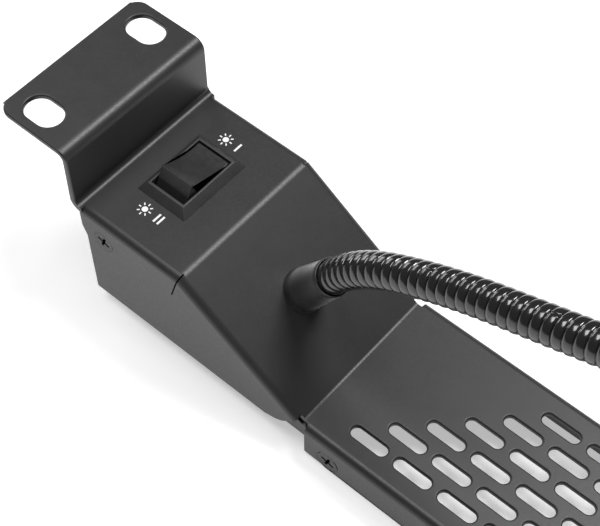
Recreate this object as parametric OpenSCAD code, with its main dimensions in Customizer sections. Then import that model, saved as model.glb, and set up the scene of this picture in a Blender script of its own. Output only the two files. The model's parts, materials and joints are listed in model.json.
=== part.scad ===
// One-unit rack panel with two switched gooseneck lamps.
// Millimetres. +X runs along the panel, +Y up the rack, +Z out of the panel's front.
// Each half is drawn once, in a frame whose x is measured from the panel's end.

/* [Panel] */
// Overall length over both ears
panel_length = 482.6; // [482.6:0.1:490]
// Height of the panel in the rack
panel_height = 43.66; // [43:0.01:44.4]
// Thickness of the folded steel
sheet = 1.5; // [1.2:0.1:1.5]
// Radius of the folds at the middle of the steel
fold_r = 2.2; // [1.6:0.1:2.4]
// Outer radius of the long side folds
edge_r = 2; // [1.8:0.1:2.4]
// Distance from the panel's end to the step behind the ear
ear_width = 21.45; // [21:0.05:22]
// Height of the ear above the switch deck
ear_rise = 17.1; // [15:0.1:19]
// Distance from the panel's end to the top of the slope
slope_start = 52.5; // [50:0.1:55]
// Distance from the panel's end to the foot of the slope
slope_end = 86.85; // [84:0.05:90]
// Drop from the switch deck to the vented deck
deck_drop = 23.5; // [22:0.1:25]
// Height of the switch deck above the resting plane
deck_z = 34.5; // [34:0.1:36]

/* [Side flanges] */
// Height of the bottom edge of the flanges beside the boxes
box_flange_z = 4.1; // [3.5:0.1:5]
// Height of the bottom edge of the flanges beside the vented deck
low_flange_z = 0.3; // [0.1:0.1:1]

/* [Rack holes] */
// Distance between the two columns of rack holes
rack_span = 465.1; // [464:0.1:466]
// Distance between the two rows of rack holes
rack_pitch = 31.75; // [31.5:0.05:32]
// Overall length of a rack hole
rack_hole_l = 10; // [8:0.5:11]
// Width of a rack hole
rack_hole_w = 7; // [6.5:0.1:7.5]

/* [Vent slots] */
// Slots in each row
slots_per_row = 22; // [6:1:22]
// Rows of slots
slot_rows = 6; // [2:1:6]
// Distance between slots along a row
slot_pitch = 11.95; // [11.5:0.05:12]
// Distance between rows
slot_row_pitch = 5.92; // [5:0.01:6]
// Overall length of a slot
slot_l = 9.7; // [8:0.1:9.8]
// Width of a slot
slot_w = 3; // [2.5:0.1:3.4]

/* [Switch] */
// Distance from the panel's end to the middle of the switch
switch_x = 35.85; // [35:0.05:37]
// Offset of the switch from the panel's mid line
switch_y = 0.65; // [-1:0.05:1]
// Length of the bezel across the panel
bezel_l = 20.5; // [19:0.1:21]
// Width of the bezel along the panel
bezel_w = 14.4; // [13.8:0.1:15]
// Height of the bezel above the deck
bezel_h = 2; // [1.5:0.1:2.5]
// Tilt of the rocker cap either side of level, in degrees
rocker_tilt = 15; // [10:1:15]

/* [Neck] */
// Distance down the slope from its top fold to the neck
neck_down = 20.8; // [19:0.1:22]
// Angle of the neck above the panel where it leaves the slope
neck_angle = 57.5; // [56:0.5:59]
// Radius of the spiral tube
neck_r = 4.06; // [3.8:0.02:4.2]
// Radius of the bore that carries the lead
neck_bore_r = 2.4; // [2:0.1:2.6]
// Length of the rubber boot
boot_l = 15.5; // [14:0.5:16]

/* [Lamp head] */
// Outer radius of the lamp shell
lamp_r = 9; // [8:0.5:9]
// Length of the lamp shell
lamp_l = 36; // [32:1:36]
// Number of light emitting diodes
led_count = 6; // [3:1:6]

/* [Hidden] */

$fn = 48;
SLACK = 0.05;             // gap between fixed pieces that fit inside each other
PAST = 1;                 // how far a cut runs past a surface

ear_z = deck_z + ear_rise;
low_z = deck_z - deck_drop;
slope_angle = atan(deck_drop / (slope_end - slope_start));
half_h = panel_height / 2;
half_l = panel_length / 2;
inner_half = half_h - sheet;              // inside of the side flanges
ear_corner_r = 3.5;
flange_x = 23.65;                         // left edge of the box flange
flange_start = 22.4;                      // where the long side folds begin
cover_t = 1;                              // steel of the rear covers
cover_half = inner_half - SLACK;
cover_x = flange_x + 0.6;
cover_end_x = slope_end + 0.5;
tab_x = [88.4, 101];                      // the cover's tab under the vented deck
tab_top = 7.6;
cover_top_z = deck_z - sheet - 1.2;
screw_at = [[29.1, deck_z - 7.3], [94.9, deck_z - 30.9]];
screw_r = 1.45;
screw_hole_r = 1.6;
screw_head_r = 2.9;
screw_head_h = 1.4;
nut_r = 2.6;
nut_l = 3;
board_z = box_flange_z + cover_t + 2;     // underside of the driver board
board_t = 1.6;
board_x = [29, 72];
board_y = [-7, 18];
block_x = [55.3, 60.5];                   // terminal block of each box
block_y = [-19.2, -14];
lead_y = -18.4;                           // the link lead's line under the vented deck
lead_r = 0.8;
lead_z = low_z - sheet - lead_r - 0.1;
inlet_x = 50;
inlet_y = -13.5;
inlet_z = 1.4;                            // mouth of the inlet

// ---------- folded profile of the panel ----------

FOLD_STEPS = 8;

// Shift of a fold's corner when the surface it is measured on moves in by h
function corner_shift(h) = h * tan(slope_angle / 2);

// Corners of the middle surface of the left half, from the ear to the middle
mid = sheet / 2;
profile_path = [
  [0, ear_z - mid],
  [ear_width - mid, ear_z - mid],
  [ear_width - mid, deck_z - mid],
  [slope_start - corner_shift(mid), deck_z - mid],
  [slope_end - corner_shift(mid), low_z - mid],
  [half_l, low_z - mid]
];

function unit(v) = v / norm(v);
function turn_left(v) = [-v[1], v[0]];

// Points of one rounded corner, moved out from the middle surface by side
function rounded(a, b, c, r, side) =
  let(
    d1 = unit(b - a),
    d2 = unit(c - b),
    turn = atan2(d1[0] * d2[1] - d1[1] * d2[0], d1 * d2),
    way = sign(turn),
    start = b - d1 * r * tan(abs(turn) / 2),
    centre = start + turn_left(d1) * r * way,
    r_side = r - side * way
  )
  [for (i = [0:FOLD_STEPS])
    let(t = turn * i / FOLD_STEPS, from = -turn_left(d1) * way)
    centre + r_side * [from[0] * cos(t) - from[1] * sin(t), from[0] * sin(t) + from[1] * cos(t)]];

// One face of the sheet along the left half, side = +-sheet / 2
function half_face(side) =
  let(p = profile_path, n = len(p))
  concat(
    [p[0] + side * turn_left(unit(p[1] - p[0]))],
    [for (i = [1:n - 2]) each rounded(p[i - 1], p[i], p[i + 1], fold_r, side)]
  );

function mirrored_x(points) =
  [for (i = [len(points) - 1:-1:0]) [panel_length - points[i][0], points[i][1]]];

function full_face(side) = concat(half_face(side), mirrored_x(half_face(side)));

function backwards(points) = [for (i = [len(points) - 1:-1:0]) points[i]];

module sheet_profile() {
  polygon(concat(full_face(mid), backwards(full_face(-mid))));
}

// ---------- small helpers ----------

// Stands an outline drawn in x, z up as a plate between two y values
module wall(y1, y2) {
  translate([0, y2, 0]) rotate([90, 0, 0]) linear_extrude(y2 - y1) children();
}

// Both side walls of the panel
module both_sides() {
  children();
  mirror([0, 1, 0]) children();
}

// Slot outline with round ends, long side along x
module slot_shape(l, w) {
  square([l - w, w], center = true);
  for (s = [-1, 1]) translate([s * (l - w) / 2, 0]) circle(d = w);
}

// Puts a half's own frame in the panel's frame
module left_half() {
  translate([-half_l, 0, 0]) children();
}

module right_half() {
  mirror([1, 0, 0]) left_half() children();
}

// Frame on the slope: x runs down the slope, z out of it
module on_slope(along) {
  translate([slope_start, 0, deck_z]) rotate([0, slope_angle, 0]) translate([along, 0, 0]) children();
}

// ---------- front panel ----------

// Bottom and side edges of the flange beside one box
module box_flange_outline(top) {
  polygon([
    [flange_start, top], [22.5, deck_z - 6.5], [flange_x, deck_z - 9.5], [flange_x, box_flange_z],
    [76.4, box_flange_z], [79.6, 5.1], [80.6, 5.7], [slope_end - 1.2, low_z], [slope_end - 1.2, top]
  ]);
}

module low_flange_outline(top) {
  polygon([
    [88.2, top], [88.2, low_flange_z], [half_l + SLACK, low_flange_z], [half_l + SLACK, top]
  ]);
}

// Both long edges of a folded strip: quarter-round folds with walls under them
module strip_edges(l, depth) {
  rotate([90, 0, 90]) linear_extrude(l) intersection() {
    difference() {
      edge_outline(half_h, edge_r, depth);
      translate([0, -sheet]) edge_outline(half_h - sheet, edge_r - sheet, depth);
    }
    for (s = [-1, 1]) translate([s * (half_h - edge_r / 2), -depth / 2]) square([edge_r, depth], center = true);
  }
}

// Section of a folded strip, with its top face on y = 0
module edge_outline(half, r, depth) {
  translate([-half, -depth]) square([2 * half, depth - r]);
  translate([r - half, -depth]) square([2 * half - 2 * r, depth]);
  for (s = [-1, 1]) translate([s * (half - r), -r]) circle(r);
}

// Everything on the box side of the slope's top fold
module before_fold() {
  wall(-half_h - PAST, half_h + PAST) polygon([
    [0, deck_z + 40], [slope_start + 40 * tan(slope_angle / 2), deck_z + 40],
    [slope_start - 60 * tan(slope_angle / 2), deck_z - 60], [0, deck_z - 60]
  ]);
}

module half_flanges() {
  intersection() {
    union() {
      intersection() {
        translate([20, 0, deck_z]) strip_edges(40, 40);
        before_fold();
      }
      difference() {
        on_slope(-20) strip_edges(70, 60);
        before_fold();
      }
    }
    wall(-half_h - PAST, half_h + PAST) box_flange_outline(deck_z + 5);
  }
  intersection() {
    translate([80, 0, low_z]) strip_edges(half_l - 80, 20);
    wall(-half_h - PAST, half_h + PAST) low_flange_outline(low_z + PAST);
  }
}

// Relief slit where the two top folds meet
module fold_relief() {
  slit = 9;
  deep = 2 * edge_r + 0.4;
  translate([slope_start, 0, deck_z]) rotate([0, slope_angle / 2, 0])
    for (s = [-1, 1]) translate([0, s * half_h, -slit / 2 + 0.5]) cube([0.35, deep, slit], center = true);
}

module ear_outline() {
  full_width = flange_start + 0.8 - ear_corner_r;
  translate([ear_corner_r, -half_h]) square([full_width, panel_height]);
  translate([0, ear_corner_r - half_h]) square([ear_width, panel_height - 2 * ear_corner_r]);
  for (s = [-1, 1]) translate([ear_corner_r, s * (half_h - ear_corner_r)]) circle(ear_corner_r);
}

module screw_cut(at) {
  translate([at[0], -half_h - SLACK, at[1]]) rotate([-90, 0, 0]) {
    cylinder(h = 4, r = screw_hole_r);
    cylinder(h = screw_head_h + SLACK, r1 = screw_head_r + SLACK, r2 = screw_hole_r);
  }
}

module half_cuts() {
  for (s = [-1, 1]) translate([half_l - rack_span / 2, s * rack_pitch / 2, ear_z - 5])
    linear_extrude(10) slot_shape(rack_hole_l, rack_hole_w);
  translate([switch_x, switch_y, deck_z]) cube([bezel_w - 1.4, bezel_l - 1.6, 8], center = true);
  on_slope(neck_down) cylinder(h = 8, r = neck_r + 0.2, center = true);
  both_sides() for (at = screw_at) screw_cut(at);
  fold_relief();
}

module vent_slots() {
  for (row = [0:slot_rows - 1], i = [0:slots_per_row - 1])
    translate([
      (i - (slots_per_row - 1) / 2) * slot_pitch + (row - (slot_rows - 1) / 2) * slot_pitch / 2,
      (row - (slot_rows - 1) / 2) * slot_row_pitch
    ]) slot_shape(slot_l, slot_w);
}

module front_panel() {
  color([0.17, 0.17, 0.175]) difference() {
    union() {
      left_half() {
        wall(edge_r - half_h, half_h - edge_r) sheet_profile();
      }
      for (side = [0, 1]) mirror([side, 0, 0]) left_half() {
        half_flanges();
        intersection() {
          wall(-half_h, half_h) sheet_profile();
          translate([0, 0, deck_z - sheet - 1]) linear_extrude(ear_rise + 5) ear_outline();
        }
      }
    }
    for (side = [0, 1]) mirror([side, 0, 0]) left_half() half_cuts();
    translate([0, 0, low_z - 5]) linear_extrude(10) vent_slots();
  }
}

// ---------- rear cover and its fixings ----------

module cover_side_outline() {
  polygon([
    [cover_x, box_flange_z], [cover_x, cover_top_z], [slope_start - 2, cover_top_z],
    [slope_end - 5, low_z - 0.2], [tab_x[0], tab_top], [tab_x[1], tab_top], [tab_x[1], 0],
    [tab_x[0], 0], [tab_x[0], box_flange_z]
  ]);
}

module rear_cover(inlet) {
  color([0.2, 0.2, 0.205]) difference() {
    union() {
      translate([cover_x, -cover_half, box_flange_z]) cube([cover_end_x - cover_x, 2 * cover_half, cover_t]);
      translate([cover_x, -cover_half, box_flange_z]) cube([cover_t, 2 * cover_half, cover_top_z - box_flange_z]);
      translate([cover_end_x - cover_t, -cover_half, box_flange_z])
        cube([cover_t, 2 * cover_half, low_z - sheet - 0.5 - box_flange_z]);
      both_sides() wall(-cover_half, cover_t - cover_half) cover_side_outline();
    }
    both_sides() for (at = screw_at)
      translate([at[0], -half_h, at[1]]) rotate([-90, 0, 0]) cylinder(h = 5, r = 2);
    translate([cover_end_x - 2, lead_y - lead_r - 0.2, lead_z - 1.4]) cube([4, 4 * lead_r + 0.6, 4]);
    if (inlet) translate([inlet_x, inlet_y, 0]) cylinder(h = 10, r = 4.1);
  }
}

module cover_screws() {
  color([0.1, 0.1, 0.1]) both_sides() for (at = screw_at)
    translate([at[0], -half_h, at[1]]) rotate([-90, 0, 0]) difference() {
      union() {
        cylinder(h = 6.5, r = screw_r);
        cylinder(h = screw_head_h, r1 = screw_head_r - SLACK, r2 = screw_r);
      }
      for (a = [0, 90]) rotate(a + 20) cube([3.4, 0.7, 2], center = true);
    }
}

module clinch_nuts() {
  color([0.75, 0.75, 0.72]) both_sides() for (at = screw_at)
    translate([at[0], SLACK - half_h + sheet, at[1]]) rotate([-90, 0, 0]) difference() {
      union() {
        cylinder(h = cover_t + nut_l, r = 2 - SLACK / 2);
        translate([0, 0, cover_t]) cylinder(h = nut_l, r = nut_r);
      }
      translate([0, 0, -1]) cylinder(h = nut_l + 4, r = screw_r + 0.05);
    }
}

// ---------- rocker switch ----------

rocker_w = 9.2;
open_w = 9.9;
open_l = 15.6;
pivot_drop = 2.3;
pivot_pin_r = 1.2;
body_w = bezel_w - 1.8;
body_l = bezel_l - 2;
body_depth = 13;

module on_switch() {
  translate([switch_x, switch_y, deck_z]) children();
}

// Block whose four sides lean in by lean from its foot to its top
module leaning_block(w, l, h, lean) {
  intersection() {
    rotate([90, 0, 0]) linear_extrude(l, center = true)
      polygon([[-w / 2, 0], [w / 2, 0], [w / 2 - lean, h], [lean - w / 2, h]]);
    rotate([90, 0, 90]) linear_extrude(w, center = true)
      polygon([[-l / 2, 0], [l / 2, 0], [l / 2 - lean, h], [lean - l / 2, h]]);
  }
}

module switch_body() {
  color([0.07, 0.07, 0.07]) on_switch() difference() {
    union() {
      leaning_block(bezel_w, bezel_l, bezel_h, 1.8);
      translate([-body_w / 2, -body_l / 2, -body_depth]) cube([body_w, body_l, body_depth + SLACK]);
    }
    translate([-open_w / 2, -open_l / 2, 1.5 - body_depth]) cube([open_w, open_l, body_depth + 5]);
    translate([0, 0, -pivot_drop]) rotate([0, 90, 0])
      cylinder(h = open_w + 1.6, r = pivot_pin_r + 0.05, center = true);
  }
}

// Side view of the cap in its level position, about its pivot
module rocker_outline() {
  difference() {
    polygon([[-6.2, 5.8], [-7.4, 0], [-5, -3.2], [5, -3.2], [7.4, 0], [6.2, 5.8]]);
    translate([0, 25.4]) circle(r = 20.5, $fn = 200);
  }
}

module rocker() {
  color([0.08, 0.08, 0.08]) on_switch() translate([0, 0, -pivot_drop]) rotate([-rocker_tilt, 0, 0]) {
    rotate([90, 0, 90]) linear_extrude(rocker_w, center = true) rocker_outline();
    rotate([0, 90, 0]) cylinder(h = open_w + 1.2, r = pivot_pin_r, center = true);
  }
}

module switch_terminals() {
  color([0.8, 0.72, 0.45]) on_switch() for (i = [-1, 0, 1])
    translate([-2.4, i * 5.8 - 0.4, -body_depth - 5]) difference() {
      cube([4.8, 0.8, 5]);
      translate([2.4, -1, 2]) rotate([-90, 0, 0]) cylinder(h = 3, r = 0.8);
    }
}

// ---------- neck ----------

// Length and bend radius of each stretch of the neck; radius 0 is straight
neck_path = [[17.5, 0], [21.8, 50], [26.9, 140], [34.3, 0], [38.2, 60]];
neck_root = [
  slope_start + neck_down * cos(slope_angle), deck_z - neck_down * sin(slope_angle), neck_angle
];

// Place and angle a length l further along a stretch that bends down with radius r
function advance(at, l, r) =
  r == 0
    ? [at[0] + l * cos(at[2]), at[1] + l * sin(at[2]), at[2]]
    : let(a = at[2] - l / r * 180 / PI)
      [at[0] + r * (sin(at[2]) - sin(a)), at[1] + r * (cos(a) - cos(at[2])), a];

function stretch_start(i) = i == 0 ? 0 : stretch_start(i - 1) + neck_path[i - 1][0];

// Place and angle at a distance s along the neck
function neck_at(s, i = 0, at = neck_root) =
  i == len(neck_path) || s <= neck_path[i][0]
    ? advance(at, s, i == len(neck_path) ? 0 : neck_path[i][1])
    : neck_at(s - neck_path[i][0], i + 1, advance(at, neck_path[i][0], neck_path[i][1]));

// Frame on the neck: x runs along it
module on_neck(s) {
  p = neck_at(s);
  translate([p[0], 0, p[1]]) rotate([0, -p[2], 0]) children();
}

module pipe_section() {
  difference() {
    circle(neck_r);
    circle(neck_bore_r);
  }
}

ball_r = neck_r + 0.25;
joint_gap = ball_r + 0.35;     // the next section starts this far past a bending point

// Distance along the neck to the bending point at the end of stretch i
function bend_at(i) = stretch_start(i + 1) - (i + 1 < len(neck_path) ? joint_gap : 0);

LAST = len(neck_path) - 1;

// One stretch of the spiral tube, with a ball at its outer bending point
module neck_section(i) {
  start = stretch_start(i);
  l = bend_at(i) - 1 - start;
  bend = neck_path[i][1];
  a = bend == 0 ? 0 : l / bend * 180 / PI;
  color([0.05, 0.05, 0.05]) {
    on_neck(start) {
      if (bend == 0) rotate([0, 90, 0]) linear_extrude(l) pipe_section();
      else translate([0, 0, -bend]) rotate([90, 0, 0]) rotate([0, 0, 90 - a])
        rotate_extrude(angle = a) translate([bend, 0]) pipe_section();
    }
    on_neck(bend_at(i)) sphere(ball_r);
  }
}

module neck_boot() {
  color([0.09, 0.09, 0.09]) intersection() {
    on_neck(0) rotate([0, 90, 0]) difference() {
      rotate_extrude() polygon([
        [0, -5], [5.25, -5], [5.15, 1], [4.75, boot_l - 2], [4.6, boot_l - 0.4], [4.4, boot_l], [0, boot_l]
      ]);
      translate([0, 0, -PAST - 5]) cylinder(h = boot_l + 10, r = neck_r + 0.02);
    }
    on_slope(neck_down) translate([0, 0, 10]) cube([40, 30, 20], center = true);
  }
}

module neck_ferrule() {
  color([0.7, 0.7, 0.68]) on_neck(0) rotate([0, 90, 0]) difference() {
    translate([0, 0, -9]) cylinder(h = 9 + neck_path[0][0], r = neck_r - 0.06);
    translate([0, 0, -10]) cylinder(h = 30, r = neck_bore_r);
  }
}

module neck_washer() {
  color([0.78, 0.78, 0.76]) on_slope(neck_down) translate([0, 0, -sheet - 0.9]) difference() {
    cylinder(h = 0.8, r = 7);
    translate([0, 0, -1]) cylinder(h = 3, r = neck_r + 0.3);
  }
}

module neck_nut() {
  color([0.78, 0.76, 0.7]) on_slope(neck_down) translate([0, 0, -sheet - 4.2]) difference() {
    cylinder(h = 3.2, r = 6.6, $fn = 6);
    translate([0, 0, -1]) cylinder(h = 5, r = neck_r + 0.25);
  }
}

// ---------- lamp head ----------

lamp_wall = 1.2;
lamp_from = joint_gap + 3;     // start of the shell past the last bending point
window_w = 11;
window_l = 28;
window_from = lamp_from + 4.5;
lens_t = 1.2;
lens_drop = 6.6;               // lens face below the lamp's axis
led_drop = 3.2;                // board below the lamp's axis

module on_lamp() {
  on_neck(bend_at(LAST)) children();
}

module lamp_collar() {
  color([0.12, 0.12, 0.12]) on_lamp() rotate([0, 90, 0]) difference() {
    union() {
      translate([0, 0, joint_gap]) cylinder(h = 6, r = neck_r);
      translate([0, 0, joint_gap + 1]) cylinder(h = 2, r = neck_r + 1.2);
    }
    cylinder(h = 20, r = neck_bore_r);
  }
}

module lamp_shell() {
  color([0.06, 0.06, 0.065]) on_lamp() difference() {
    translate([lamp_from, 0, 0]) rotate([0, 90, 0]) rotate_extrude() polygon([
      [neck_r + 0.02, 0], [lamp_r - 2.4, 0], [lamp_r - 0.7, 1.2], [lamp_r, 3.2],
      [lamp_r, lamp_l], [lamp_r - lamp_wall, lamp_l], [lamp_r - lamp_wall, 4], [neck_r + 0.02, 3.4]
    ]);
    translate([window_from, -window_w / 2, -lamp_r - 1]) cube([window_l, window_w, lamp_r]);
  }
}

module lamp_cap() {
  color([0.06, 0.06, 0.065]) on_lamp() translate([lamp_from + lamp_l, 0, 0]) rotate([0, 90, 0])
    rotate_extrude() polygon([
      [0, -2.5], [lamp_r - lamp_wall - SLACK, -2.5], [lamp_r - lamp_wall - SLACK, 0], [lamp_r, 0],
      [lamp_r - 0.4, 1.2], [lamp_r - 1.6, 2], [0, 2]
    ]);
}

module led_board() {
  w = 2 * sqrt(pow(lamp_r - lamp_wall, 2) - led_drop * led_drop) - 0.1;
  color([0.9, 0.9, 0.88]) on_lamp() translate([window_from, -w / 2, -led_drop])
    cube([window_l, w, 1.2]);
}

module leds() {
  color([0.95, 0.9, 0.5]) on_lamp() for (i = [0:led_count - 1])
    translate([window_from + (i + 0.5) * window_l / led_count, 0, -led_drop - 0.6])
      cube([2.8, 3.5, 1.2], center = true);
}

module lamp_lens() {
  color([0.85, 0.88, 0.9, 0.5]) on_lamp() translate([window_from + SLACK, SLACK - window_w / 2, -lens_drop])
    cube([window_l - 2 * SLACK, window_w - 2 * SLACK, lens_t]);
}

// ---------- driver electronics ----------

module driver_board() {
  color([0.1, 0.35, 0.2]) difference() {
    translate([board_x[0], board_y[0], board_z])
      cube([board_x[1] - board_x[0], board_y[1] - board_y[0], board_t]);
    for (x = board_x, y = board_y) translate([x, y, board_z - 1] + board_hole_offset(x, y)) cylinder(h = 4, r = 1.2);
  }
}

// Moves a corner of the board in to its fixing hole
function board_hole_offset(x, y) = [x == board_x[0] ? 3 : -3, y == board_y[0] ? 3 : -3, 0];

module standoffs() {
  color([0.78, 0.75, 0.6]) for (x = board_x, y = board_y)
    translate([x, y, box_flange_z + cover_t] + board_hole_offset(x, y)) difference() {
      cylinder(h = board_z - box_flange_z - cover_t, r = 2.2);
      translate([0, 0, -1]) cylinder(h = 5, r = 1.05);
    }
}

module board_screws() {
  color([0.75, 0.75, 0.75]) for (x = board_x, y = board_y)
    translate([x, y, board_z + board_t] + board_hole_offset(x, y)) {
      cylinder(h = 1.1, r = 1.9);
      translate([0, 0, -board_t - 1.5]) cylinder(h = board_t + 2, r = 1);
    }
}

module board_parts() {
  top = board_z + board_t;
  color([0.15, 0.15, 0.18]) {
    translate([57, 9, top]) cylinder(h = 7.5, r = 3.2);
    translate([50, 2, top]) cube([5, 6, 2.4]);
    translate([61.5, 6, top]) cube([6, 6, 3]);
    translate([38.5, -4, top]) cube([6, 4, 1.6]);
    translate([42, 12, top]) cube([8, 4, 4]);
  }
}

// Stands on the rear cover beside the inlet, and takes the link lead
module terminal_block() {
  z = box_flange_z + cover_t;
  size = [block_x[1] - block_x[0], block_y[1] - block_y[0], lead_z + 2 * lead_r - z];
  color([0.1, 0.4, 0.25]) translate([block_x[0], block_y[0], z]) difference() {
    cube(size);
    for (i = [1, 3]) translate([size[0] * i / 4, size[1] / 2, size[2] - 2]) cylinder(h = 3, r = 0.9);
  }
}

// Short leads from the switch, the neck and the terminal block to the board
module wiring() {
  wire_r = 0.7;
  top = board_z + board_t;
  terminal_z = deck_z - body_depth - 5;
  mouth = neck_at(-9);
  color([0.7, 0.1, 0.1]) {
    for (i = [0, 1]) translate([switch_x, switch_y + i * 5.8, top]) cylinder(h = terminal_z - top, r = wire_r);
    translate([mouth[0] - 0.9, 0, top]) cylinder(h = mouth[1] - top, r = wire_r);
    translate([mouth[0] + 0.9, 0, top]) cylinder(h = mouth[1] - top - 1.1, r = wire_r);
    for (i = [1, 3])
      translate([block_x[0] + (block_x[1] - block_x[0]) * i / 4, block_y[1], top + wire_r]) rotate([-90, 0, 0])
        cylinder(h = board_y[0] - block_y[1] + 2, r = wire_r);
  }
}

// ---------- power inlet and the lead that links the two boxes ----------

module dc_inlet() {
  color([0.08, 0.08, 0.08]) left_half() translate([inlet_x, inlet_y, inlet_z]) {
    difference() {
      union() {
        cylinder(h = 13, r = 4);
        translate([0, 0, box_flange_z + cover_t - inlet_z]) cylinder(h = 9, r = 5.2);
      }
      translate([0, 0, -1]) cylinder(h = 11, r = 2.85);
    }
    translate([0, 0, 1]) cylinder(h = 10, r = 1);
  }
}

module dc_inlet_nut() {
  color([0.75, 0.75, 0.75]) left_half() translate([inlet_x, inlet_y, box_flange_z - 2]) difference() {
    cylinder(h = 2, r = 6.2, $fn = 6);
    translate([0, 0, -1]) cylinder(h = 5, r = 4.05);
  }
}

// Two conductors side by side, from one terminal block to the other
module link_lead() {
  color([0.1, 0.1, 0.1]) for (s = [0, 1])
    translate([block_x[1] - half_l, lead_y + s * 2 * lead_r, lead_z]) rotate([0, 90, 0])
      cylinder(h = 2 * (half_l - block_x[1]), r = lead_r);
}

// Saddles stuck under the vented deck, in every fourth gap between the slots of the nearest row
module lead_clips() {
  clip_l = slot_pitch - slot_l;
  row_shift = -(slot_rows - 1) / 4 * slot_pitch;
  color([0.85, 0.85, 0.82]) for (i = [-2:2])
    translate([4 * i * slot_pitch + row_shift, lead_y + lead_r, low_z - sheet]) difference() {
      translate([-clip_l / 2, -2.4, -2.6]) cube([clip_l, 4.8, 2.6]);
      translate([-clip_l, -2.1 * lead_r, -2.2 * lead_r]) cube([2 * clip_l, 4.2 * lead_r, 2.2 * lead_r + PAST]);
    }
}

// ---------- what is drawn ----------

front_panel();
left_half() rear_cover(true);  // left_rear_cover
right_half() rear_cover(false);  // right_rear_cover
left_half() cover_screws();  // left_cover_screws
right_half() cover_screws();  // right_cover_screws
left_half() clinch_nuts();  // left_clinch_nuts
right_half() clinch_nuts();  // right_clinch_nuts
left_half() switch_body();  // left_switch_body
right_half() switch_body();  // right_switch_body
left_half() rocker();  // left_rocker
right_half() rocker();  // right_rocker
left_half() switch_terminals();  // left_switch_terminals
right_half() switch_terminals();  // right_switch_terminals
left_half() neck_boot();  // left_neck_boot
right_half() neck_boot();  // right_neck_boot
left_half() neck_ferrule();  // left_neck_ferrule
right_half() neck_ferrule();  // right_neck_ferrule
left_half() neck_nut();  // left_neck_nut
right_half() neck_nut();  // right_neck_nut
left_half() neck_washer();  // left_neck_washer
right_half() neck_washer();  // right_neck_washer
left_half() neck_section(1);  // left_neck_base
right_half() neck_section(1);  // right_neck_base
left_half() neck_section(2);  // left_neck_lower
right_half() neck_section(2);  // right_neck_lower
left_half() neck_section(3);  // left_neck_middle
right_half() neck_section(3);  // right_neck_middle
left_half() neck_section(4);  // left_neck_upper
right_half() neck_section(4);  // right_neck_upper
left_half() lamp_collar();  // left_lamp_collar
right_half() lamp_collar();  // right_lamp_collar
left_half() lamp_shell();  // left_lamp_shell
right_half() lamp_shell();  // right_lamp_shell
left_half() lamp_cap();  // left_lamp_cap
right_half() lamp_cap();  // right_lamp_cap
left_half() led_board();  // left_led_board
right_half() led_board();  // right_led_board
left_half() leds();  // left_leds
right_half() leds();  // right_leds
left_half() lamp_lens();  // left_lamp_lens
right_half() lamp_lens();  // right_lamp_lens
left_half() driver_board();  // left_driver_board
right_half() driver_board();  // right_driver_board
left_half() board_parts();  // left_board_parts
right_half() board_parts();  // right_board_parts
left_half() standoffs();  // left_standoffs
right_half() standoffs();  // right_standoffs
left_half() board_screws();  // left_board_screws
right_half() board_screws();  // right_board_screws
left_half() terminal_block();  // left_terminal_block
right_half() terminal_block();  // right_terminal_block
left_half() wiring();  // left_wiring
right_half() wiring();  // right_wiring
dc_inlet();
dc_inlet_nut();
link_lead();
lead_clips();
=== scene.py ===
"""One-unit rack panel with two switched gooseneck lamps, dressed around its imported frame.

Metres, in the frame's own axes: +X along the panel, +Y up the rack, +Z out of its front.
"""
import json
import math

import bmesh
import bpy
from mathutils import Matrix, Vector


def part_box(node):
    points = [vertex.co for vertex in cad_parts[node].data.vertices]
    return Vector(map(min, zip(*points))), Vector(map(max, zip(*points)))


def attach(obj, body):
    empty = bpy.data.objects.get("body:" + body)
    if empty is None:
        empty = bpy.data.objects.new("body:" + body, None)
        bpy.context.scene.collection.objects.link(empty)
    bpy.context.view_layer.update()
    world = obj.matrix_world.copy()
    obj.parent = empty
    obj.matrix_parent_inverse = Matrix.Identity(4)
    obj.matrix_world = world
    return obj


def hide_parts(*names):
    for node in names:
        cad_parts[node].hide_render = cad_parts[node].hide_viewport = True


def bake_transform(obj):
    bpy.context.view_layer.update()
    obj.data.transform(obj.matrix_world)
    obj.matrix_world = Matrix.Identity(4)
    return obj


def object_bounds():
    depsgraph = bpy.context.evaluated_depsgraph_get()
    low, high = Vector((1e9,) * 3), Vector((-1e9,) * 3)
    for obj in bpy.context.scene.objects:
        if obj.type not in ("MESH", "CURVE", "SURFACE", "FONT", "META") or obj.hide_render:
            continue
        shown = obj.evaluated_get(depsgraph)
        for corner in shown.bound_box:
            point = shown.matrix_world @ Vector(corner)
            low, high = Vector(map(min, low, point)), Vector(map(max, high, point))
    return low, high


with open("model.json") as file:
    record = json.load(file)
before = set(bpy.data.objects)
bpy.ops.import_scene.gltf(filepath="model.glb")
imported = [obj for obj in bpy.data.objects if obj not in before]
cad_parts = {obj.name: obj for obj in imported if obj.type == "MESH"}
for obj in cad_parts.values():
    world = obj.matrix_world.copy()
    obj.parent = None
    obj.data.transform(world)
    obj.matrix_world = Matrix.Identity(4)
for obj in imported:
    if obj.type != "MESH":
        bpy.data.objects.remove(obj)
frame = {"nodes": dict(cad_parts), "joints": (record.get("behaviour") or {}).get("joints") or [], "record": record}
CAD_BOX = [list(corner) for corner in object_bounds()]

MM = 0.001
SIDES = ("left", "right")
JOINTS = {joint["name"]: joint for joint in frame["joints"]}
NODES = frame["nodes"]


# ---------- camera ----------

CAMERA_PLACE = Vector((-51.16, -138.53, 300.47)) * MM
CAMERA_TURN = [math.radians(angle) for angle in (34.48, 0.37, 40.766)]
CAMERA_LENS = 89.74
SENSOR = 36.0
CLIP_START = 0.01


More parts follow.
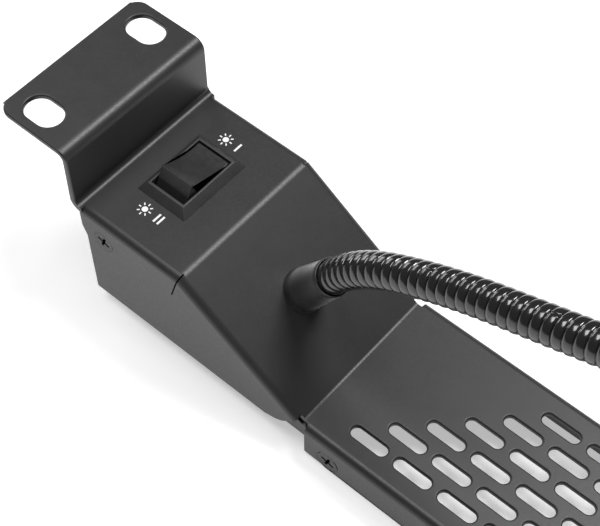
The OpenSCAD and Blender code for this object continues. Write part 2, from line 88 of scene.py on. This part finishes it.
def make_camera():
    data = bpy.data.cameras.new("camera")
    data.lens = CAMERA_LENS
    data.sensor_width = SENSOR
    data.clip_start = CLIP_START
    camera = bpy.data.objects.new("camera", data)
    camera.location = CAMERA_PLACE
    camera.rotation_euler = CAMERA_TURN
    bpy.context.scene.collection.objects.link(camera)
    bpy.context.scene.camera = camera


# ---------- materials ----------

# Nearly all of a noise's values lie between these
NOISE_LOW = 0.3
NOISE_HIGH = 0.7


class Shader:
    """A material under construction: its Principled node and short ways to add to it."""

    def __init__(self, name, colour, roughness, metallic=0.0):
        self.material = bpy.data.materials.new(name)
        self.material.use_nodes = True
        self.nodes = self.material.node_tree.nodes
        self.links = self.material.node_tree.links
        self.principled = self.nodes["Principled BSDF"]
        self.place = self.nodes.new("ShaderNodeTexCoord").outputs["Object"]
        self.set("Base Color", (*colour, 1.0))
        self.set("Roughness", roughness)
        self.set("Metallic", metallic)

    def set(self, socket, value):
        self.principled.inputs[socket].default_value = value

    def node(self, kind, **values):
        """A new node; each value is named after its input, with _ for a space."""
        made = self.nodes.new(kind)
        for name, value in values.items():
            made.inputs[name.replace("_", " ")].default_value = value
        return made

    def noise(self, size, detail=3.0, squeeze=None):
        """A noise whose features are about size metres across, or less along a squeezed axis."""
        texture = self.node("ShaderNodeTexNoise", Scale=1 / size, Detail=detail, Roughness=0.55)
        place = self.place
        if squeeze:
            mapping = self.node("ShaderNodeMapping", Scale=squeeze)
            self.links.new(place, mapping.inputs["Vector"])
            place = mapping.outputs["Vector"]
        self.links.new(place, texture.inputs["Vector"])
        return texture.outputs["Fac"]

    def vary_roughness(self, factor, low, high):
        spread = self.node(
            "ShaderNodeMapRange", From_Min=NOISE_LOW, From_Max=NOISE_HIGH, To_Min=low, To_Max=high)
        self.links.new(factor, spread.inputs["Value"])
        self.links.new(spread.outputs["Result"], self.principled.inputs["Roughness"])

    def vary_colour(self, factor, dark, light):
        ramp = self.node("ShaderNodeValToRGB")
        low, high = ramp.color_ramp.elements
        low.position = NOISE_LOW
        high.position = NOISE_HIGH
        low.color = (*dark, 1)
        high.color = (*light, 1)
        self.links.new(factor, ramp.inputs["Fac"])
        self.links.new(ramp.outputs["Color"], self.principled.inputs["Base Color"])

    def bump(self, heights, strength, distance):
        """Adds a bump of that depth, on top of any made before it."""
        bump = self.node("ShaderNodeBump", Strength=strength, Distance=distance)
        self.links.new(heights, bump.inputs["Height"])
        normal = self.principled.inputs["Normal"]
        if normal.is_linked:
            self.links.new(normal.links[0].from_socket, bump.inputs["Normal"])
        self.links.new(bump.outputs["Normal"], normal)


def grey(level, warm=0.0):
    """A grey, or one with more red than blue where warm is above 0."""
    return (level + warm, level, level - warm)


def powder_coat():
    made = Shader("powder_coat", grey(0.02), 0.42)
    grain = made.noise(0.35 * MM, 4)
    made.vary_colour(made.noise(6 * MM), grey(0.018), grey(0.022))
    made.vary_roughness(grain, 0.36, 0.48)
    made.bump(made.noise(1.6 * MM, 2), 0.25, 0.02 * MM)
    made.bump(grain, 0.5, 0.012 * MM)
    return made.material


def black_oxide():
    made = Shader("black_oxide", grey(0.03), 0.36, 0.6)
    made.vary_roughness(made.noise(0.4 * MM), 0.28, 0.46)
    made.bump(made.noise(0.2 * MM), 0.3, 0.01 * MM)
    return made.material


def zinc():
    made = Shader("zinc", grey(0.6, 0.015), 0.34, 1.0)
    made.vary_colour(made.noise(2.5 * MM), grey(0.5, 0.02), grey(0.66, 0.01))
    made.vary_roughness(made.noise(0.5 * MM, 3, (1, 1, 6)), 0.24, 0.45)
    made.bump(made.noise(0.3 * MM, 3, (1, 1, 5)), 0.3, 0.01 * MM)
    return made.material


def textured_plastic():
    made = Shader("textured_plastic", grey(0.03), 0.45)
    grain = made.noise(0.22 * MM, 4)
    made.vary_colour(made.noise(3 * MM), grey(0.026), grey(0.034))
    made.vary_roughness(grain, 0.38, 0.56)
    made.bump(grain, 0.8, 0.03 * MM)
    return made.material


def smooth_plastic():
    made = Shader("smooth_plastic", grey(0.022), 0.34)
    made.vary_colour(made.noise(2.5 * MM), grey(0.019), grey(0.026))
    made.vary_roughness(made.noise(0.9 * MM, 5), 0.3, 0.42)
    made.bump(made.noise(0.5 * MM, 4), 0.25, 0.008 * MM)
    return made.material


def rubber():
    made = Shader("rubber", grey(0.022), 0.4)
    made.set("Sheen Weight", 0.6)
    made.set("Sheen Roughness", 0.3)
    made.vary_colour(made.noise(4 * MM), grey(0.012), grey(0.018))
    made.vary_roughness(made.noise(0.7 * MM, 4), 0.34, 0.48)
    made.bump(made.noise(0.3 * MM, 4), 0.35, 0.012 * MM)
    return made.material


def gloss_black():
    made = Shader("gloss_black", grey(0.010), 0.16)
    made.set("Coat Weight", 0.6)
    made.set("Coat Roughness", 0.08)
    made.vary_roughness(made.noise(1.2 * MM, 4), 0.14, 0.22)
    made.bump(made.noise(3 * MM, 1), 0.05, 0.003 * MM)
    return made.material


def black_anodised():
    made = Shader("black_anodised", grey(0.02), 0.36, 0.35)
    made.vary_roughness(made.noise(0.4 * MM, 4), 0.3, 0.44)
    made.bump(made.noise(0.25 * MM, 3), 0.35, 0.01 * MM)
    return made.material


def plain_moulding(name, colour, roughness):
    """Small moulded or coated pieces, with a slight unevenness of colour and gloss."""
    made = Shader(name, colour, roughness)
    darker = [c * 0.85 for c in colour]
    made.vary_colour(made.noise(1.5 * MM), darker, colour)
    made.vary_roughness(made.noise(0.6 * MM, 4), roughness - 0.06, roughness + 0.08)
    made.bump(made.noise(0.3 * MM, 3), 0.2, 0.006 * MM)
    return made.material


def tinned_brass():
    made = Shader("tinned_brass", (0.66, 0.56, 0.34), 0.3, 1.0)
    made.vary_roughness(made.noise(0.5 * MM, 4), 0.22, 0.42)
    made.bump(made.noise(0.3 * MM), 0.3, 0.01 * MM)
    return made.material


def frosted_lens():
    made = Shader("frosted_lens", (0.92, 0.94, 0.95), 0.25)
    made.set("Transmission Weight", 0.85)
    made.set("IOR", 1.49)
    made.vary_roughness(made.noise(0.3 * MM, 4), 0.2, 0.34)
    made.bump(made.noise(0.4 * MM, 3), 0.3, 0.01 * MM)
    return made.material


def print_ink():
    made = Shader("print_ink", grey(0.8), 0.5)
    made.vary_colour(made.noise(0.15 * MM, 4), grey(0.7), grey(0.86))
    made.vary_roughness(made.noise(0.3 * MM), 0.42, 0.6)
    return made.material


# The material of each of the record's slots
FINISHES = {
    "powder_coat": powder_coat(),
    "black_screw": black_oxide(),
    "zinc_steel": zinc(),
    "switch_plastic": textured_plastic(),
    "rocker_plastic": smooth_plastic(),
    "tinned_brass": tinned_brass(),
    "boot_rubber": rubber(),
    "spiral_tube": gloss_black(),
    "lamp_aluminium": black_anodised(),
    "white_board": plain_moulding("white_board", grey(0.78), 0.35),
    "led_phosphor": plain_moulding("led_phosphor", (0.85, 0.70, 0.20), 0.4),
    "lamp_lens": frosted_lens(),
    "green_board": plain_moulding("green_board", (0.03, 0.16, 0.06), 0.32),
    "component_black": plain_moulding("component_black", grey(0.03), 0.4),
    "green_plastic": plain_moulding("green_plastic", (0.03, 0.22, 0.08), 0.35),
    "red_wire": plain_moulding("red_wire", (0.42, 0.02, 0.02), 0.35),
    "lead_insulation": plain_moulding("lead_insulation", grey(0.02), 0.36),
    "clip_plastic": plain_moulding("clip_plastic", grey(0.68), 0.45),
}
PRINT_INK = print_ink()


# ---------- CAD nodes that keep their own shape ----------

# Width of the rounded edges of each kind of node, in millimetres
EDGES = {
    "rear_cover": 0.2, "switch_body": 0.14, "rocker": 0.22,
    "cover_screws": 0.08, "lamp_shell": 0.25, "lamp_cap": 0.25, "lamp_collar": 0.25,
    "lamp_lens": 0.12, "terminal_block": 0.2, "board_parts": 0.2, "dc_inlet": 0.2,
    "dc_inlet_nut": 0.15, "neck_nut": 0.2, "driver_board": 0.1, "lead_clips": 0.15,
}
EDGE_SEGMENTS = 3
SHARP = math.radians(28)
FLAT = math.radians(0.5)
WELD = 0.002 * MM


def smooth_faces(mesh):
    mesh.polygons.foreach_set("use_smooth", [True] * len(mesh.polygons))


def dress_node(name, edge_mm, finish):
    """Gives a CAD node its finish and rounds its sharp edges slightly, as pressing or moulding does."""
    piece = NODES[name]
    mesh = piece.data
    mesh.materials.clear()
    mesh.materials.append(finish)
    if "custom_normal" in mesh.attributes:
        mesh.attributes.remove(mesh.attributes["custom_normal"])
    smooth_faces(mesh)
    weld = piece.modifiers.new("weld", "WELD")
    weld.merge_threshold = WELD
    flat = piece.modifiers.new("flat", "DECIMATE")
    flat.decimate_type = "DISSOLVE"
    flat.angle_limit = FLAT
    if edge_mm:
        round_edges(piece, edge_mm * MM)
    shade(piece)


def round_edges(piece, width):
    bevel = piece.modifiers.new("edges", "BEVEL")
    bevel.width = width
    bevel.segments = EDGE_SEGMENTS
    bevel.limit_method = "ANGLE"
    bevel.angle_limit = SHARP
    bevel.use_clamp_overlap = False
    bevel.harden_normals = False


def shade(piece, keep_sharp=False):
    weighted = piece.modifiers.new("shade", "WEIGHTED_NORMAL")
    weighted.keep_sharp = keep_sharp
    weighted.weight = 100


def dress_nodes():
    slots = {part["node"]: part["material_slot"] for part in frame["record"]["subparts"]}
    for name in NODES:
        side, _, rest = name.partition("_")
        kind = rest if side in SIDES else name
        dress_node(name, EDGES.get(kind, 0), FINISHES[slots[name]])


# ---------- folded panel ----------

PANEL_EDGE = 0.45 * MM
# Where the panel's edges are plain ones: on the ears, around the deck's slots and at the flanges' feet
EAR_FROM_X = 218.5 * MM
EAR_FROM_Z = 35.5 * MM
SLOTS_TO_X = 151.2 * MM
SLOTS_TO_Y = 19.5 * MM
FOOT_TO_Z = 6 * MM


def plain_edge(point):
    """Whether an edge there can be rounded without cutting into a corner where folds meet."""
    x, y, z = abs(point.x), abs(point.y), point.z
    on_ear = x > EAR_FROM_X and z > EAR_FROM_Z
    on_deck = x < SLOTS_TO_X and y < SLOTS_TO_Y
    return on_ear or on_deck or z < FOOT_TO_Z


def make_panel():
    """The folded panel with its plain edges rounded; the corners where folds meet stay sharp."""
    solid = bmesh.new()
    solid.from_mesh(NODES["front_panel"].data)
    solid.transform(NODES["front_panel"].matrix_world)
    bmesh.ops.remove_doubles(solid, verts=solid.verts, dist=WELD)
    bmesh.ops.dissolve_limit(solid, angle_limit=FLAT, verts=solid.verts, edges=solid.edges)
    sharp = [edge for edge in solid.edges if edge.calc_face_angle(0) > SHARP]
    plain = [edge for edge in sharp if all(plain_edge(vert.co) for vert in edge.verts)]
    for edge in set(sharp) - set(plain):
        edge.smooth = False
    bmesh.ops.bevel(
        solid, geom=plain, offset=PANEL_EDGE, offset_type="OFFSET", segments=EDGE_SEGMENTS,
        profile=0.5, affect="EDGES", clamp_overlap=False)
    mesh = bpy.data.meshes.new("panel")
    solid.to_mesh(mesh)
    solid.free()
    smooth_faces(mesh)
    mesh.materials.append(FINISHES["powder_coat"])
    panel = bpy.data.objects.new("panel", mesh)
    bpy.context.scene.collection.objects.link(panel)
    shade(panel, keep_sharp=True)
    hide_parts("front_panel")
    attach(panel, "root")


# ---------- mesh helpers ----------

def new_piece(name, points, faces, finish):
    """A smooth-shaded piece with that finish, its faces turned outward."""
    mesh = bpy.data.meshes.new(name)
    mesh.from_pydata([tuple(p) for p in points], [], faces)
    mesh.validate()
    solid = bmesh.new()
    solid.from_mesh(mesh)
    bmesh.ops.recalc_face_normals(solid, faces=solid.faces)
    solid.to_mesh(mesh)
    solid.free()
    smooth_faces(mesh)
    mesh.materials.append(finish)
    piece = bpy.data.objects.new(name, mesh)
    bpy.context.scene.collection.objects.link(piece)
    return piece


# ---------- neck ----------

NECK_R = 4.06 * MM
NECK_BORE_R = 2.4 * MM
# Stretches of the neck's line: length and bend radius in millimetres, 0 where it is straight
NECK_PATH = [(17.5, 0), (21.8, 50), (26.9, 140), (34.3, 0), (38.2, 60)]
NECK_JOINTS = ["neck_side", "neck_lift", "neck_reach", "lamp_tilt"]
NECK_NODES = ["neck_base", "neck_lower", "neck_middle", "neck_upper"]
# Distances along the neck's line of its joints, and of the wound strip's two ends
JOINT_AT = [34.64 * MM, 61.54 * MM, 95.84 * MM, 138.7 * MM]
TUBE_FROM = 8.8 * MM
TUBE_TO = 143.6 * MM
# How far a bend reaches before and after its joint; the lamp's collar follows soon after the last
BEND_BEFORE = 10 * MM
BEND_AFTER = 11 * MM
LAMP_BEND_AFTER = 4.4 * MM
PITCH = 2.48 * MM
ROUND = 40
# One pitch of the wound strip: share of the pitch, depth below the outside in millimetres
STRIP = [
    (0.00, 0.70), (0.03, 0.60), (0.06, 0.38), (0.10, 0.23), (0.16, 0.11), (0.24, 0.03),
    (0.34, 0.00), (0.44, 0.01), (0.54, 0.04), (0.64, 0.09), (0.74, 0.15), (0.83, 0.22),
    (0.90, 0.32), (0.95, 0.52)
]


def advance(place, length, radius):
    """Place (x, z, angle) a length further on, along a stretch that bends down with that radius."""
    x, z, angle = place
    if radius == 0:
        return x + length * math.cos(angle), z + length * math.sin(angle), angle
    end = angle - length / radius
    run = radius * (math.sin(angle) - math.sin(end))
    rise = radius * (math.cos(end) - math.cos(angle))
    return x + run, z + rise, end


def along_path(distance, place):
    """Place (x, z, angle) at that distance along a neck whose line starts at place."""
    for length, radius in NECK_PATH:
        step = min(distance, length * MM)
        place = advance(place, step, radius * MM)
        distance -= step
        if distance <= 0:
            return place
    return advance(place, distance, 0)


def neck_root():
    """Start of the left neck's line: where it leaves the slope, worked back from its first joint."""
    joint = JOINTS["left_neck_side"]
    angle = math.atan2(-joint["axis"][0], joint["axis"][2])
    x, z, turned = along_path(JOINT_AT[0], (0.0, 0.0, 0.0))
    start = angle - turned
    return (
        joint["pos_m"][0] - x * math.cos(start) + z * math.sin(start),
        joint["pos_m"][2] - x * math.sin(start) - z * math.cos(start),
        start,
    )


NECK_ROOT = neck_root()


def neck_frame(distance, side):
    """Point on the neck, and the two directions across it: up and sideways."""
    if distance >= 0:
        x, z, angle = along_path(distance, NECK_ROOT)
    else:
        x, z, angle = advance(NECK_ROOT, distance, 0)
    flip = 1 if side == "left" else -1
    centre = Vector((x * flip, 0, z))
    up = Vector((-math.sin(angle) * flip, 0, math.cos(angle)))
    return centre, up, Vector((0, 1, 0))


def neck_point(distance, side):
    return neck_frame(distance, side)[0]


def off_neck(distance, side, radius, angle):
    """Point at that radius from the neck's line, at that angle from its upper side."""
    centre, up, across = neck_frame(distance, side)
    return centre + radius * (math.cos(angle) * up + math.sin(angle) * across)


def spiral_tube(name, first_turn, last_turn, side):
    """Wound strip from one turn to another, with its bore, as one closed solid."""
    points = []
    faces = []
    steps = len(STRIP)
    index = {}

    def corner(turn, step, around, inside=False):
        """Vertex on the strip's row step, where row steps of one turn is row 0 of the next."""
        turn += step // steps + around // ROUND
        step %= steps
        around %= ROUND
        key = (turn, step, around, inside)
        if key not in index:
            share, depth = STRIP[step]
            distance = TUBE_FROM + PITCH * (turn + share + around / ROUND)
            radius = NECK_BORE_R if inside else NECK_R - depth * MM
            index[key] = len(points)
            points.append(off_neck(distance, side, radius, 2 * math.pi * around / ROUND))
        return index[key]

    for row in range((last_turn - first_turn) * steps):
        turn, step = divmod(row, steps)
        turn += first_turn
        for around in range(ROUND):
            faces.append([
                corner(turn, step, around), corner(turn, step, around + 1),
                corner(turn, step + 1, around + 1), corner(turn, step + 1, around),
            ])
            if step == 0:
                faces.append([
                    corner(turn + 1, 0, around, True), corner(turn + 1, 0, around + 1, True),
                    corner(turn, 0, around + 1, True), corner(turn, 0, around, True),
                ])
    for turn in (first_turn, last_turn):
        for around in range(ROUND):
            faces.append([
                corner(turn, 0, around), corner(turn, 0, around + 1),
                corner(turn, 0, around + 1, True), corner(turn, 0, around, True),
            ])
    for turn in (first_turn, last_turn):
        seam = [corner(turn, step, 0) for step in range(steps + 1)]
        faces.append(seam + [corner(turn + 1, 0, 0, True), corner(turn, 0, 0, True)])
    tube = new_piece(name, points, faces, FINISHES["spiral_tube"])
    return tube


def lathe(name, profile, slot, side, count=48):
    """Solid turned about the neck's line; profile is (distance along it, radius), closed on itself."""
    points = []
    faces = []
    for i in range(count):
        angle = 2 * math.pi * i / count
        points += [off_neck(distance, side, radius, angle) for distance, radius in profile]
    size = len(profile)
    for i in range(count):
        j = (i + 1) % count
        for k in range(size):
            m = (k + 1) % size
            faces.append([i * size + k, i * size + m, j * size + m, j * size + k])
    piece = new_piece(name, points, faces, FINISHES[slot])
    return piece


def make_necks():
    """Four lengths of tube a side, one around each joint; they meet halfway between joints."""
    halfway = [(a + b) / 2 for a, b in zip(JOINT_AT, JOINT_AT[1:])]
    turns = [round((end - TUBE_FROM) / PITCH) for end in [TUBE_FROM, *halfway, TUBE_TO]]
    for side in SIDES:
        for i, joint in enumerate(NECK_JOINTS):
            tube = spiral_tube(f"{side}_neck_tube_{i + 1}", turns[i], turns[i + 1], side)
            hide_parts(f"{side}_{NECK_NODES[i]}")
            reach = LAMP_BEND_AFTER if joint == "lamp_tilt" else BEND_AFTER
            neck_point(JOINT_AT[i] - BEND_BEFORE, side)
            neck_point(JOINT_AT[i] + reach, side)
            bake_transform(tube)


# Distances along the neck's line of the ferrule's ends
FERRULE_FROM = -9 * MM
FERRULE_TO = 8.6 * MM
THREAD_PITCH = 1 * MM
THREAD_ROOT_R = 3.7 * MM
THREAD_TOP_R = 4.0 * MM


def make_ferrules():
    """Threaded sleeve at the neck's root: the nut grips it behind the slope."""
    profile = []
    for i in range(round((FERRULE_TO - FERRULE_FROM) / THREAD_PITCH)):
        here = FERRULE_FROM + i * THREAD_PITCH
        profile += [(here, THREAD_ROOT_R), (here + 0.5 * THREAD_PITCH, THREAD_TOP_R)]
    profile += [(FERRULE_TO, THREAD_ROOT_R), (FERRULE_TO, NECK_BORE_R), (FERRULE_FROM, NECK_BORE_R)]
    for side in SIDES:
        ferrule = lathe(f"{side}_ferrule", profile, "zinc_steel", side)
        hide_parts(f"{side}_neck_ferrule")
        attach(ferrule, "root")


# The boot's outline: distance along the neck's line and radius, in millimetres
BOOT = [
    (-1.2, 5.3), (0.2, 5.34), (0.5, 5.26), (0.75, 5.08), (3.0, 4.94), (8.0, 4.7), (13.6, 4.44),
    (14.0, 4.52), (15.0, 4.5), (15.35, 4.42), (15.5, 4.28), (15.45, 4.12), (14.5, 4.08), (-1.2, 4.08),
]
BOOT_AROUND = 64


def make_boots():
    """Moulded boot with a foot bead and a lip."""
    profile = [(distance * MM, radius * MM) for distance, radius in BOOT]
    for side in SIDES:
        boot = lathe(f"{side}_boot", profile, "boot_rubber", side, BOOT_AROUND)
        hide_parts(f"{side}_neck_boot")
        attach(boot, "root")


# ---------- printed legends ----------

# Height of the switch deck, from the switch body that stands 2 mm above it
DECK_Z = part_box("left_switch_body")[1].z - 2 * MM
INK_TOP = DECK_Z + 0.012 * MM
INK_FOOT = DECK_Z - 0.02 * MM
# Each legend: place from the switch's centre in X and from the panel's in Y, in millimetres, and its strokes
LEGENDS = {"far": (1.1, 13.6, 1), "near": (0.8, -12.65, 2)}
# Sizes in a legend, in units of this length
UNIT = 1.2 * MM
SIGN_X = -2.2
SIGN_R = 0.62
RAYS = 8
RAY_AT = 1.22
RAY_SIZE = (0.55, 0.26)
STROKE_X = 0.9
STROKE_STEP = 0.95
STROKE_SIZE = (0.42, 2.1)


def heading(turn):
    return Vector((math.cos(turn), math.sin(turn)))


def disc(centre, radius, count=24):
    return [centre + radius * heading(2 * math.pi * i / count) for i in range(count)]


def bar(centre, size, turn=0.0):
    """Outline of a bar whose size, in units, is given along the turned direction and across it."""
    along = heading(turn) * (size[0] * UNIT) / 2
    across = Vector((-math.sin(turn), math.cos(turn))) * (size[1] * UNIT) / 2
    return [
        centre - along - across, centre + along - across,
        centre + along + across, centre - along + across,
    ]


def legend(name, centre, strokes):
    """A lamp sign and that many upright strokes, printed on the switch deck."""
    sign = centre + Vector((SIGN_X * UNIT, 0))
    shapes = [disc(sign, SIGN_R * UNIT)]
    for i in range(RAYS):
        turn = 2 * math.pi * i / RAYS
        shapes.append(bar(sign + RAY_AT * UNIT * heading(turn), RAY_SIZE, turn))
    for i in range(strokes):
        place = centre + Vector(((STROKE_X + STROKE_STEP * i) * UNIT, 0))
        shapes.append(bar(place, STROKE_SIZE))
    points = []
    faces = []
    for shape in shapes:
        first = len(points)
        count = len(shape)
        points += [Vector((p.x, p.y, INK_TOP)) for p in shape]
        points += [Vector((p.x, p.y, INK_FOOT)) for p in shape]
        faces.append(list(range(first, first + count)))
        faces.append(list(range(first + 2 * count - 1, first + count - 1, -1)))
        for i in range(count):
            j = (i + 1) % count
            faces.append([first + i, first + count + i, first + count + j, first + j])
    piece = new_piece(name, points, faces, PRINT_INK)
    piece.data.polygons.foreach_set("use_smooth", [False] * len(piece.data.polygons))
    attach(piece, "root")


def make_legends():
    for side in SIDES:
        low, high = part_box(f"{side}_switch_body")
        switch = (low + high) / 2
        for end, (x, y, strokes) in LEGENDS.items():
            legend(f"{side}_legend_{end}", Vector((switch.x + x * MM, y * MM)), strokes)


# ---------- floor, backdrop and light ----------

FLOOR_HALF = 6.0
FLOOR_GAP = 0.05 * MM
FLOOR_GLOW = 0.45
BACKGROUND = 0.14
# Soft lights aimed at the left end: place, size in metres, power in watts
LEFT_END = (-0.19, 0.0, 0.03)
LIGHTS = {
    "near_soft": ((-0.40, -0.10, 0.95), (0.46, 0.34), 4.5),
    "far_soft": ((0.02, 0.42, 0.95), (0.34, 0.34), 8.5),
    "side_soft": ((-1.1, 0.22, 0.36), (0.5, 0.4), 2.5),
}


def make_stage():
    """A white floor that shines a little of its own, as a lit studio sweep does."""
    mesh = bpy.data.meshes.new("floor")
    corners = [(-1, -1), (1, -1), (1, 1), (-1, 1)]
    mesh.from_pydata([(x * FLOOR_HALF, y * FLOOR_HALF, 0) for x, y in corners], [], [(0, 1, 2, 3)])
    floor = bpy.data.objects.new("floor", mesh)
    floor.location.z = CAD_BOX[0][2] - FLOOR_GAP
    bpy.context.scene.collection.objects.link(floor)
    made = Shader("floor", grey(0.75), 0.6)
    made.set("Specular IOR Level", 0.1)
    made.set("Emission Color", (1, 1, 1, 1))
    made.set("Emission Strength", FLOOR_GLOW)
    mesh.materials.append(made.material)


def area_light(name, place, size, power):
    data = bpy.data.lights.new(name, "AREA")
    data.shape = "RECTANGLE"
    data.size, data.size_y = size
    data.energy = power
    light = bpy.data.objects.new(name, data)
    light.location = place
    light.rotation_euler = (Vector(LEFT_END) - Vector(place)).to_track_quat("-Z", "Y").to_euler()
    bpy.context.scene.collection.objects.link(light)


def make_light():
    world = bpy.data.worlds.new("studio")
    world.use_nodes = True
    background = world.node_tree.nodes["Background"]
    background.inputs["Color"].default_value = (1, 1, 1, 1)
    background.inputs["Strength"].default_value = BACKGROUND
    scene = bpy.context.scene
    scene.world = world
    for name, (place, size, power) in LIGHTS.items():
        area_light(name, place, size, power)
    scene.view_settings.view_transform = "Standard"
    scene.view_settings.look = "None"


make_camera()
dress_nodes()
make_panel()
make_necks()
make_ferrules()
make_boots()
make_legends()
make_stage()
make_light()

bpy.context.view_layer.update()
